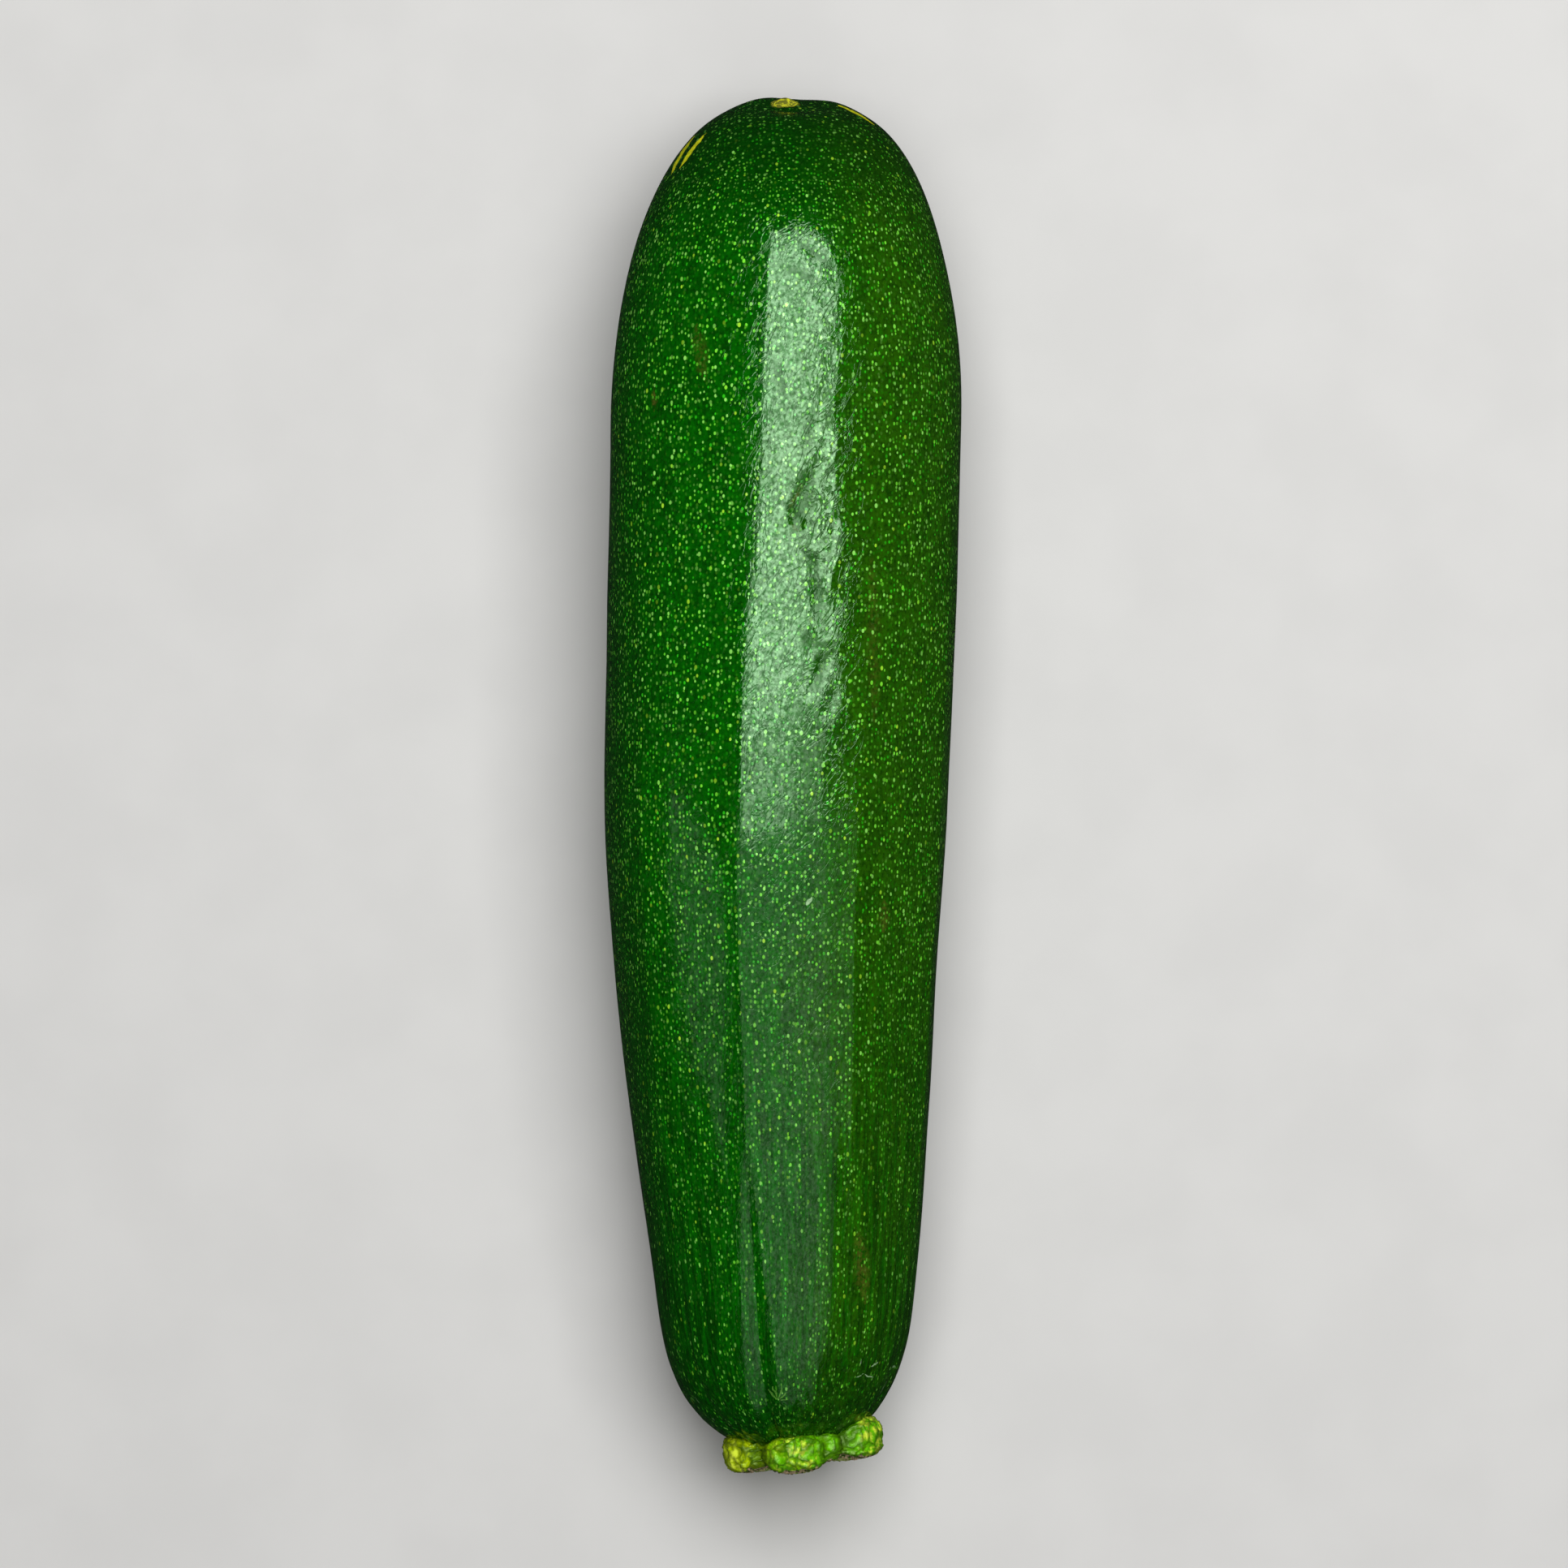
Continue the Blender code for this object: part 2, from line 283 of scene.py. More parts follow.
def end_slant(along, x, z):
    stem = smoothstep(FRUIT_LENGTH - STEM_SLANT_SPAN, FRUIT_LENGTH, along)
    return math.tan(STEM_SLANT) * stem * x - math.tan(BLOSSOM_SLANT) * bell(along, BLOSSOM_SLANT_SPAN) * z


def fruit_surface(angle, along):
    plain = body_radius(along) * end_rounding(along)
    radius = plain - rib_relief(angle, along, plain)
    points = np.stack([radius * np.sin(angle), -along, radius * np.cos(angle)], axis=1)
    radius = radius + SWELL_HEIGHT * noise_at(points, SWELL_SIZE) * np.minimum(1, plain / SWELL_FADE)
    x = radius * np.sin(angle)
    z = radius * np.cos(angle) * HEIGHT_SHARE
    scar = scar_relief(radius) * bell(along, BLOSSOM_SLANT_SPAN)
    y = scar + end_slant(along, x, z) - along
    sideways, up = fruit_axis(along)
    return np.stack([sideways + x, y, np.maximum(up + z, REST_DEPTH) - REST_DEPTH], axis=1)


def fruit_stations():
    """Distance along the fruit of each ring, from pole to pole, and the share of the radius left there."""
    turns = np.arange(DOME_RINGS) / DOME_RINGS
    dome = DOME_LENGTH * (1 - np.cos(math.pi / 2 * turns**DOME_CROWDING))
    body = np.linspace(DOME_LENGTH, SHOULDER_START, BODY_RINGS, endpoint=False)
    shoulder = mix(SHOULDER_START, FRUIT_LENGTH, np.linspace(0, 1, SHOULDER_RINGS) ** SHOULDER_CROWDING)
    along = np.concatenate([dome, body, shoulder, [FRUIT_LENGTH] * FACE_RINGS])
    share = np.ones_like(along)
    share[-FACE_RINGS:] = 1 - np.arange(1, FACE_RINGS + 1) / FACE_RINGS
    return along, share


def grid_faces(rings, segments):
    """Faces of a closed tube: a fan at each pole, quads between. Vertex 0 and the last are the poles."""
    faces = []
    last = 1 + (rings - 2) * segments
    for s in range(segments):
        n = (s + 1) % segments
        faces.append((0, 1 + s, 1 + n))
        faces.append((last, last - segments + n, last - segments + s))
        for r in range(rings - 3):
            a = 1 + r * segments
            faces.append((a + s, a + segments + s, a + segments + n, a + n))
    return faces


def arc_lengths(points, rings, segments):
    """How far each ring is from the first pole over the surface, on average."""
    first = np.repeat(points[:1], segments, 0)[None]
    body = points[1:-1].reshape(rings - 2, segments, 3)
    last = np.repeat(points[-1:], segments, 0)[None]
    grid = np.concatenate([first, body, last])
    steps = np.linalg.norm(np.diff(grid, axis=0), axis=2).mean(axis=1)
    return np.concatenate([[0], np.cumsum(steps)])


def grid_uv(mesh, arc, segments):
    """Unrolls the tube over the whole square. U goes round it, and V goes from pole to pole by distance."""
    layer = mesh.uv_layers.new(name="OFBake")
    rings = len(arc)
    last = 1 + (rings - 2) * segments
    for face in mesh.polygons:
        corners = [mesh.loops[i].vertex_index for i in face.loop_indices]
        columns = [None if v in (0, last) else (v - 1) % segments for v in corners]
        known = [c for c in columns if c is not None]
        wraps = max(known) - min(known) > 1
        for i, v, c in zip(face.loop_indices, corners, columns):
            if v == 0:
                row = 0
            elif v == last:
                row = rings - 1
            else:
                row = 1 + (v - 1) // segments
            if c is None:
                c = min(known) + 0.5 if not wraps else segments - 0.5
            elif wraps and c == 0:
                c = segments
            layer.data[i].uv = (c / segments, arc[row] / arc[-1])


def make_object(name, points, faces):
    mesh = bpy.data.meshes.new(name)
    mesh.from_pydata(points.tolist(), [], faces)
    mesh.shade_smooth()
    mesh.update()
    made = bpy.data.objects.new(name, mesh)
    bpy.context.scene.collection.objects.link(made)
    return made


def set_attribute(mesh, name, values):
    kind = "FLOAT_VECTOR" if values.ndim == 2 else "FLOAT"
    made = mesh.attributes.new(name, kind, "POINT")
    made.data.foreach_set("vector" if values.ndim == 2 else "value", values.astype(np.float32).ravel())


def ring_points(rings, segments, start):
    """Angle and ring of every vertex of a closed tube. Each ring begins at the start angle."""
    turn = np.arange(segments) / segments * 2 * math.pi + start
    inner = np.arange(1, rings - 1)
    angle = np.concatenate([[0.0], np.tile(turn, len(inner)), [0.0]])
    ring = np.concatenate([[0], np.repeat(inner, segments), [rings - 1]])
    return angle, ring


def push_out(made, points, relief):
    """Moves every vertex along its normal by the relief, and gives the new points."""
    normals = np.zeros(len(points) * 3, np.float32)
    made.data.vertices.foreach_get("normal", normals)
    points = points + normals.reshape(-1, 3) * relief[:, None]
    made.data.vertices.foreach_set("co", points.astype(np.float32).ravel())
    made.data.update()
    return points


def grown_place(points, along, sideways, up):
    """Where each point of the skin would be if the fruit had kept its full width: patterns follow this."""
    widen = FRUIT_WIDTH / 2 / body_radius(along)
    place = points.copy()
    place[:, 0] = (points[:, 0] - sideways) * widen
    place[:, 2] = (points[:, 2] - up) * widen
    return place


def crease_relief(angle, along):
    relief = np.zeros_like(angle)
    for middle, depth, start, deepest in CREASES:
        wander = CREASE_WANDER * np.sin(along / CREASE_WANDER_LENGTH + middle)
        off = degrees_off(angle, middle) * DEG + wander
        relief += depth * bell(off, CREASE_WIDTH) * smoothstep(start, deepest, along)
    return relief


def on_photo(pixel):
    """The place in the frame that a pixel shows, at the height of the fruit's outline."""
    return (pixel[0] - PIXEL_X_ZERO) * PIXEL, (PIXEL_Y_ZERO - pixel[1]) * PIXEL


def seen_at(points):
    """Where each point of the skin shows from above, drawn in to the height of the fruit's outline."""
    return points[:, :2] * (CAMERA_DISTANCE / (CAMERA_DISTANCE + SILHOUETTE_HEIGHT - points[:, 2:]))


def dent_relief(points):
    """Depth of the dents at each point, and how far each point is inside one, 0 to 1."""
    seen = seen_at(points)
    relief, most = np.zeros(len(points)), np.zeros(len(points))
    for pixel, half_width, half_length, turn, depth in DENTS:
        x, y = (seen - on_photo(pixel)).T
        across = x * math.cos(turn * DEG) + y * math.sin(turn * DEG)
        lengthwise = y * math.cos(turn * DEG) - x * math.sin(turn * DEG)
        inside = bell(np.hypot(across / half_width, lengthwise / half_length) ** 2, 1)
        inside = np.where(points[:, 2] > SILHOUETTE_HEIGHT, inside, 0)
        relief += depth * inside
        most = np.maximum(most, inside)
    return relief, most


def crumpled_share(points):
    """1 in the middle of the crumpled skin, 0 far from it."""
    x, y = (seen_at(points) - on_photo(CRUMPLE_MIDDLE)).T
    return bell(x, CRUMPLE_SPREAD[0]) * bell(y, CRUMPLE_SPREAD[1]) * (points[:, 2] > SILHOUETTE_HEIGHT)


def crumple_relief(points, grown):
    ridges = 1 - 2 * np.abs(noise_at(grown * CRUMPLE_SQUEEZE, CRUMPLE_SIZE))
    folds = FOLD_SHARE * noise_at(grown * FOLD_SQUEEZE, FOLD_SIZE)
    return CRUMPLE_HEIGHT * crumpled_share(points) * (ridges + folds)


def end_relief(dome):
    """Bumps round the blossom scar, from each point's place round the pole."""
    relief = np.zeros(len(dome))
    for right, above, radius, height in END_BUMPS:
        relief += height * bell(np.hypot(dome[:, 0] - right, dome[:, 1] - above), radius)
    return relief


def fine_relief(points, angle, along, grown):
    """How far the fine relief stands out of the plain skin."""
    peel = PEEL_HEIGHT * noise_at(grown, PEEL_SIZE)
    ripple = RIPPLE_HEIGHT * noise_at(grown * RIPPLE_SQUEEZE, RIPPLE_SIZE)
    drawn = grown * (1, WRINKLE_WIDTH / WRINKLE_LENGTH, 1)
    wrinkle = WRINKLE_HEIGHT * noise_at(drawn, WRINKLE_WIDTH) * smoothstep(*WRINKLES_START, along)
    crumple = crumple_relief(points, grown) - dent_relief(points)[0]
    return peel + ripple + wrinkle + crumple - crease_relief(angle, along)


def make_fruit():
    stations, share = fruit_stations()
    angle, ring = ring_points(len(stations), FRUIT_SEGMENTS, -math.pi)
    along = stations[ring]
    sideways, up = fruit_axis(np.array([FRUIT_LENGTH]))
    seat = np.array([sideways[0], -FRUIT_LENGTH, up[0] - REST_DEPTH])
    points = mix(seat, fruit_surface(angle, along), share[ring][:, None])
    low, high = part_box("fruit")
    middle = (points[:, 0].min() + points[:, 0].max()) / 2
    shift = np.array([(low.x + high.x) / 2 - middle, high.y - points[:, 1].max(), 0])
    points += shift
    fruit = make_object("courgette_skin", points, grid_faces(len(stations), FRUIT_SEGMENTS))
    side, lift = fruit_axis(along)
    grown = grown_place(points, along, side + shift[0], lift)
    from_pole = arc_lengths(points, len(stations), FRUIT_SEGMENTS)[ring][:, None]
    dome = from_pole * np.stack([np.sin(angle), np.cos(angle), np.zeros_like(angle)], axis=1)
    relief = fine_relief(points, angle, along, grown) + end_relief(dome)
    relief *= smoothstep(0, RELIEF_FADE, points[:, 2]) * smoothstep(0, 1, share[ring])
    points = push_out(fruit, points, relief)
    arc = arc_lengths(points, len(stations), FRUIT_SEGMENTS)
    grid_uv(fruit.data, arc, FRUIT_SEGMENTS)
    set_attribute(fruit.data, "dome", dome / MM)
    set_attribute(fruit.data, "grown", grown / MM)
    set_attribute(fruit.data, "along", along / MM)
    set_attribute(fruit.data, "crumpled", crumpled_share(points))
    set_attribute(fruit.data, "dented", dent_relief(points)[1])
    return fruit, Vector(seat + shift), arc[-1] / MM


# Stem stub
KNOB_SIZE = 1.8 * MM
KNOB_HEIGHT = 0.62 * MM
KNOB_ROUNDNESS = 0.7  # power of the knob's profile: below 1 its top is broader
KNOB_LEVEL = 0.65  # share of a knob's height that lies on the plain form
PIMPLE_SIZE = 0.72 * MM
PIMPLE_HEIGHT = 0.22 * MM
PIMPLE_LEVEL = 0.5
KNOB_STEEPNESS = 1.8
KNOB_PULL = 0.7  # how far the knobs are pulled out of shape, as a share of their size
KNOB_PULL_RATE = 0.8  # changes of the pull for each knob that is passed
KNOB_SEED = 7  # the way that the knobs are pulled out of shape


def lobe_reach(angle):
    """How far each point is into a lobe: outwards, up and down."""
    most = np.zeros((3, len(angle)))
    for middle, half_width, *reach in STUB_LOBES:
        off = degrees_off(angle, middle)
        most = np.maximum(most, np.outer(reach, bell(off**2, half_width**2)))
    return most


def stub_surface(angle, ring):
    turn = math.pi * ring / STUB_RINGS
    level = np.sign(np.cos(turn)) * np.abs(np.cos(turn)) ** STUB_SQUARENESS
    spread = np.sin(turn) ** STUB_SQUARENESS
    reach_out, reach_up, reach_down = lobe_reach(angle)
    radius = spread * mix(STUB_WAIST_OUT, STUB_LOBE_OUT, reach_out)
    above = level * mix(STUB_WAIST_UP, STUB_LOBE_UP, reach_up) - STUB_DISH * (1 - spread**2)
    height = np.where(level > 0, above, level * mix(STUB_WAIST_DOWN, STUB_LOBE_DOWN, reach_down))
    return np.stack([radius * np.sin(angle), radius * np.cos(angle), height], axis=1)


def knob_height(point, size):
    """1 on top of a knob of the size, 0 in the crease between two."""
    place = Vector(point) / size
    nearest = noise.voronoi(place + KNOB_PULL * noise.noise_vector(place * KNOB_PULL_RATE))[0]
    return min(1.0, (nearest[1] - nearest[0]) * KNOB_STEEPNESS)


def make_stub(seat):
    angle, ring = ring_points(STUB_RINGS + 1, STUB_SEGMENTS, 0.0)
    points = stub_surface(angle, ring)
    noise.seed_set(KNOB_SEED)
    knobs = np.array([knob_height(point, KNOB_SIZE) for point in points])
    pimples = np.array([knob_height(point, PIMPLE_SIZE) for point in points])
    stub = make_object("stem_stub_skin", points, grid_faces(STUB_RINGS + 1, STUB_SEGMENTS))
    relief = KNOB_HEIGHT * (knobs**KNOB_ROUNDNESS - KNOB_LEVEL) + PIMPLE_HEIGHT * (pimples - PIMPLE_LEVEL)
    points = push_out(stub, points, relief)
    grid_uv(stub.data, arc_lengths(points, STUB_RINGS + 1, STUB_SEGMENTS), STUB_SEGMENTS)
    set_attribute(stub.data, "knob", knobs)
    set_attribute(stub.data, "pimple", pimples)
    set_attribute(stub.data, "lobe", lobe_reach(angle)[0])
    set_attribute(stub.data, "cut_face", np.clip(1 - ring / STUB_RINGS * 2, 0, 1))
    set_attribute(stub.data, "grown", points / MM)
    stub.location = seat + Vector((STUB_OFFSET, 0, 0))
    stub.rotation_euler = (math.pi / 2, 0, STUB_SLANT)
    return stub


# Shader helpers
EASE_SOCKETS = ("Value", "From Min", "From Max", "To Min", "To Max")
# A Mix node has a pair of inputs for each kind of data, and these are its factor and its two colours
COLOUR_MIX_SOCKETS = (0, 6, 7)
COLOUR_MIX_RESULT = 2
SCALE_SOCKETS = (0, 3)
NUMBER_RESULTS = ("DISTANCE", "DOT_PRODUCT")


def new_material(name):
    made = bpy.data.materials.new(name)
    made.use_nodes = True
    return made, made.node_tree, made.node_tree.nodes["Principled BSDF"]


def plug(tree, value, socket):
    if isinstance(value, bpy.types.NodeSocket):
        tree.links.new(value, socket)
    else:
        socket.default_value = value


def add(tree, kind, inputs=None, **settings):
    made = tree.nodes.new("ShaderNode" + kind)
    for name, value in settings.items():
        setattr(made, name, value)
    for name, value in (inputs or {}).items():
        plug(tree, value, made.inputs[name])
    return made


def maths(tree, operation, *values):
    return add(tree, "Math", operation=operation, inputs=dict(enumerate(values))).outputs[0]


def times(tree, a, b):
    return maths(tree, "MULTIPLY", a, b)


def line(tree, value, slope, start):
    """The slope times the value, plus the start."""
    return maths(tree, "MULTIPLY_ADD", value, slope, start)


def vectors(tree, operation, *values):
    """Vector arithmetic. With SCALE, the second value is the scale."""
    sockets = SCALE_SOCKETS if operation == "SCALE" else range(len(values))
    made = add(tree, "VectorMath", operation=operation, inputs=dict(zip(sockets, values)))
    return made.outputs["Value" if operation in NUMBER_RESULTS else "Vector"]


def axis_of(tree, vector, axis):
    return add(tree, "SeparateXYZ", inputs={"Vector": vector}).outputs[axis]


def attribute(tree, name, kind):
    """A value of the mesh that varies over it: kind Fac for a number, Vector for a place."""
    return add(tree, "Attribute", attribute_name=name, attribute_type="GEOMETRY").outputs[kind]


def blend(tree, factor, a, b, mode="MIX"):
    made = add(tree, "Mix", data_type="RGBA", blend_type=mode)
    for value, socket in zip((factor, a, b), COLOUR_MIX_SOCKETS):
        plug(tree, (*value, 1) if isinstance(value, tuple) else value, made.inputs[socket])
    return made.outputs[COLOUR_MIX_RESULT]


def ease(tree, value, low, high, start=0.0, end=1.0):
    """start below low, end above high, and a smooth step between."""
    inputs = dict(zip(EASE_SOCKETS, (value, low, high, start, end)))
    return add(tree, "MapRange", interpolation_type="SMOOTHSTEP", inputs=inputs).outputs[0]


def tinted(tree, colour, value, tints, share=1.0):
    """Lays each tint over the colour, as strongly as its step of the value says, times the share."""
    for tint, *step in tints:
        colour = blend(tree, times(tree, ease(tree, value, *step), share), colour, tint)
    return colour


def clouds(tree, vector, squeeze, size, detail=2.0, roughness=0.5, twist=0.0):
    """Soft noise from 0 to 1, with features of the size in the vector's own unit."""
    inputs = {
        "Vector": vectors(tree, "MULTIPLY", vector, squeeze),
        "Scale": 1 / size,
        "Detail": detail,
        "Roughness": roughness,
        "Distortion": twist,
    }
    return add(tree, "TexNoise", inputs=inputs).outputs["Fac"]


def wandering(tree, value, vector, layer, width):
    """The value, shifted to and fro by the layer of clouds, up to half the width each way."""
    return maths(tree, "ADD", value, line(tree, clouds(tree, vector, *layer), width, -width / 2))


def specks(tree, vector, squeeze, cell, radius, spread, softness, rarity):
    """Dots, one in each cell: their strength, and a lot from 0 to 1 that is drawn for each."""
    place = vectors(tree, "MULTIPLY", vector, squeeze)
    inputs = {"Vector": place, "Scale": 1 / cell, "Randomness": SPECK_RANDOMNESS}
    made = add(tree, "TexVoronoi", voronoi_dimensions="2D", inputs=inputs)
    lot = add(tree, "SeparateColor", inputs={"Color": made.outputs["Color"]})
    strength = maths(tree, "POWER", lot.outputs[0], rarity)
    size = line(tree, lot.outputs[1], spread / cell, radius / cell)
    edge = times(tree, size, 1 - softness)
    dot = ease(tree, made.outputs["Distance"], edge, size, 1.0, 0.0)
    return times(tree, dot, strength), lot.outputs[2]


def between(tree, place, start, end):
    """Distance of each point from the line between two points, and how far along that line it is, 0 to 1."""
    run = Vector(end) - Vector(start)
    away = vectors(tree, "SUBTRACT", place, tuple(start))
    reach = vectors(tree, "DOT_PRODUCT", away, tuple(run / run.length_squared))
    share = add(tree, "Clamp", inputs={0: reach}).outputs[0]
    foot = vectors(tree, "SCALE", tuple(run), share)
    return vectors(tree, "DISTANCE", away, foot), share


def stroke(tree, place, start, end, half_width, solid):
    """1 on a stroke that tapers to both ends. It is solid to this share of its width, then fades out."""
    apart, share = between(tree, place, start, end)
    left = maths(tree, "SUBTRACT", 1.0, share)
    # The two shares multiply to a quarter in the middle, where the hump is the half width
    hump = times(tree, times(tree, share, left), 4 * half_width)
    width = maths(tree, "ADD", hump, STROKE_TIP * half_width)
    return ease(tree, maths(tree, "DIVIDE", apart, width), solid, 1.0, 1.0, 0.0)


# Tones of the skin, as linear red, green and blue
LEFT_GREEN = (0.0012, 0.092, 0.0003)
RIGHT_GREEN = (0.0170, 0.086, 0.0008)
DARK_GREEN = (0.0008, 0.022, 0.0003)
LIGHT_GREEN = (0.0040, 0.190, 0.0010)
SPECK_GREEN = (0.030, 0.56, 0.010)
SPECK_LIME = (0.22, 0.88, 0.045)
SPECK_PALE = (0.34, 0.92, 0.15)
SPECK_YELLOW = (0.46, 0.90, 0.04)
SCAR_DARK = (0.16, 0.17, 0.02)
SCAR_BRIGHT = (0.72, 0.74, 0.03)

# Clouds on the skin: squeeze, size of the features in mm, then detail, roughness and twist
EVEN = (1, 1, 1)
SIDE_CLOUDS = (EVEN, 30.0)
SHADE_CLOUDS = ((1, 0.45, 1), 3.0, 4.0, 0.6)
MOTTLE_CLOUDS = ((1, 0.8, 1), 0.62, 3.0, 0.6)
LANE_CLOUDS = ((1, 0.06, 1), 1.3, 3.0, 0.6)
STREAK_CLOUDS = ((1, 0.07, 1), 0.55, 2.0, 0.6)
SCAR_CLOUDS = (EVEN, 0.6, 3.0, 0.6)
PEBBLE_CLOUDS = (EVEN, 0.9, 3.0, 0.6)
GRAIN_CLOUDS = ((1, 0.8, 1), 0.50, 3.0, 0.7)
FOLD_CLOUDS = ((1, 0.42, 1), 1.7, 3.0, 0.6, 0.8)
RAGGED_CLOUDS = (EVEN, 0.6, 4.0, 0.75)

# Tints: colour, where its step begins and ends, and its strength before and after the step
SHADE_TINTS = ((DARK_GREEN, 0.35, 0.60, 0.35, 0.0),)
MOTTLE_TINTS = (
    (DARK_GREEN, 0.34, 0.52, 0.55, 0.0),
    (LIGHT_GREEN, 0.50, 0.70, 0.0, 0.30),
)
LANE_TINTS = ((DARK_GREEN, 0.38, 0.58, 0.60, 0.0),)
STREAK_TINTS = ((LIGHT_GREEN, 0.48, 0.66, 0.0, 0.30),)
# These steps are in mm: from the blossom end, and above the middle of the fruit
# The first is painted shade on the blossom end; the second darkens the skin towards the stem
BLOSSOM_SHADE_AND_DARK_STEM_TINTS = (
    (DARK_GREEN, 1.0, 30.0, 0.65, 0.0),
    (DARK_GREEN, 172.0, 192.0, 0.0, 0.30),
)
# Painted shade: the lower flanks are darker, below the middle of the fruit
LOW_FLANK_SHADE_TINTS = ((DARK_GREEN, -4.0, 16.0, 0.40, 0.0),)
# And these are in each dot's lot
SMALL_DOT_TINTS = (
    (SPECK_LIME, 0.20, 0.50),
    (SPECK_PALE, 0.60, 0.95),
)
LARGE_DOT_TINTS = (
    (SPECK_LIME, 0.30, 0.60),
    (SPECK_YELLOW, 0.70, 0.90),
)

# Dots: squeeze, mm from one to the next, least radius and its spread in mm, soft share, rarity of bright dots
SMALL_DOTS = ((1, 0.80, 1), 0.62, 0.15, 0.11, 0.40, 3.1)
LARGE_DOTS = ((1, 0.75, 1), 1.75, 0.18, 0.12, 0.35, 2.2)
SPECK_RANDOMNESS = 0.9
DOME_REACH = 22.0  # mm over the skin from the blossom pole, where the dome's own pattern ends

# Steps: where each begins and ends, then the value before and after it where that isn't 0 and 1
SIDE_WANDER = 22.0  # mm that the border between the left green and the right one wanders
SIDE_STEP = (-4.0, 14.0)  # mm to the right
STEMWARD_STEP = (90.0, 175.0)  # mm from the blossom end, as in the next two
NEAR_STEM_STEP = (100.0, 178.0, 0.0, 0.94)
DOTS_BEGIN_STEP = (2.0, 20.0, 0.45, 1.0)
IN_ROW_STEP = (0.47, 0.60)  # in the clouds of the lanes
SMALL_DOT_LOSS = 0.15  # share of the small dots' strength that is lost next to the stem
RIGHT_DOT_LOSS = 0.18  # the same for all dots on the right side
LARGE_DOT_HOLD = 0.4  # share of the large dots' strength that doesn't depend on the rows
# Share of dark green laid into the dents as painted shade
DENT_PAINTED_SHADE = 0.3

# The corky scar: its middle beside the blossom pole in mm, how ragged its edge is, and its steps
SCAR_MIDDLE = (-0.8, -0.7, 0)
SCAR_RAGGEDNESS = 1.8
SCAR_STEP = (2.7, 3.1, 1.0, 0.0)
SCAR_TINTS = ((SCAR_BRIGHT, 0.42, 0.58),)

# Gloss: each pair is how much the value adds, and what is there without it
GRAIN_STEP = (0.36, 0.64)
GRAIN_SHINE = (0.95, 0.42)
PEBBLE_ROUGHNESS = (-0.03, 0.085)
DULL_ROUGHNESS = 0.10
SHEEN_TINT = (0.60, 1.0, 0.58, 1)
DOT_COAT_ROUGHNESS = 0.08
FOLD_TURN = 24 * DEG  # of the folds in crumpled skin, from lengthwise
FOLD_STEP = (0.0, 0.12, 1.0, 0.0)
FOLD_DULLNESS = (0.40, 0.38)
DENT_DULLNESS = (0.35, 0.30)

# Bumps: their height in all, and the shares of it
BUMP_HEIGHT = 0.050 * MM
DOT_BUMP = 0.10
PEBBLE_BUMP = 0.06
FOLD_BUMP = -0.5

# Marks, each between two pixels of the photograph: kind, half width in mm, strength, then the two pixels
MARKS = (
    ("yellow", 0.80, 1.00, (827, 214), (856, 167)),
    ("yellow", 0.65, 1.00, (838, 207), (869, 165)),
    ("yellow", 0.75, 1.00, (1034, 127), (1077, 154)),
    ("lime", 0.20, 0.65, (1067, 251), (1073, 258)),
    ("lime", 0.20, 0.65, (1073, 258), (1069, 268)),
    ("lime", 0.18, 0.80, (962, 1214), (966, 1222)),
    ("lime", 0.18, 0.80, (966, 1222), (963, 1230)),
    ("lime", 0.18, 0.80, (972, 1392), (970, 1400)),
    ("lime", 0.18, 0.80, (970, 1400), (974, 1404)),
    ("brown", 0.60, 0.75, (806, 479), (806, 507)),
    ("brown", 1.50, 0.30, (858, 400), (868, 468)),
    ("brown", 1.60, 0.22, (1074, 690), (1078, 890)),
    ("brown", 1.30, 0.40, (1090, 1110), (1088, 1150)),
    ("brown", 1.60, 0.45, (1058, 1515), (1066, 1605)),
    ("brown", 0.50, 0.40, (990, 592), (972, 628)),
    ("brown", 0.50, 0.40, (971, 628), (985, 662)),
    ("white", 0.30, 0.90, (993, 1117), (1001, 1106)),
    ("white", 0.13, 0.70, (1073, 1683), (1087, 1677)),
    ("white", 0.14, 0.65, (1053, 1698), (1064, 1693)),
    ("white", 0.15, 0.70, (1064, 1694), (1076, 1697)),
    ("white", 0.13, 0.50, (1060, 1683), (1061, 1674)),
    # Painted highlight: this white mark is a glint, not a scratch
    ("white", 0.18, 0.50, (1098, 1688), (1105, 1681)),
    ("white", 0.13, 0.45, (855, 1720), (882, 1751)),
    ("white", 0.12, 0.40, (882, 1751), (893, 1769)),
    ("white", 0.25, 0.25, (1091, 1722), (1102, 1706)),
    ("moss", 0.16, 0.55, (957, 1724), (946, 1711)),
    ("moss", 0.14, 0.60, (958, 1724), (952, 1706)),
    ("moss", 0.15, 0.60, (959, 1724), (963, 1705)),
    ("moss", 0.15, 0.65, (960, 1725), (971, 1713)),
    ("moss", 0.12, 0.50, (960, 1726), (974, 1723)),
    ("moss", 0.10, 0.50, (956, 1726), (951, 1743)),
    ("moss", 0.10, 0.45, (959, 1727), (962, 1748)),
)
MARK_COLOURS = {
    "yellow": (0.88, 0.90, 0.015),
    "lime": (0.24, 0.70, 0.030),
    "brown": (0.115, 0.100, 0.015),
    "white": (0.40, 0.62, 0.34),
    "moss": (0.16, 0.42, 0.060),
}
# Patchy kinds fade from the middle line on and have holes. The others are solid to this share of the width
PATCHY = ("brown",)
SOLID_SHARE = 0.6
RAGGED_STEP = (0.42, 0.56)
RAGGED_LEAST = 0.65  # share of a solid mark's strength that the ragged pattern leaves
STROKE_TIP = 0.25  # share of a mark's half width left at its two ends
MARK_WANDER = 1.1  # mm that the marks' edges wander, and over how far
MARK_WANDER_SIZE = 1.4
MARK_WANDER_DETAIL = 3.0
HALF_GREY = (0.5, 0.5, 0.5)


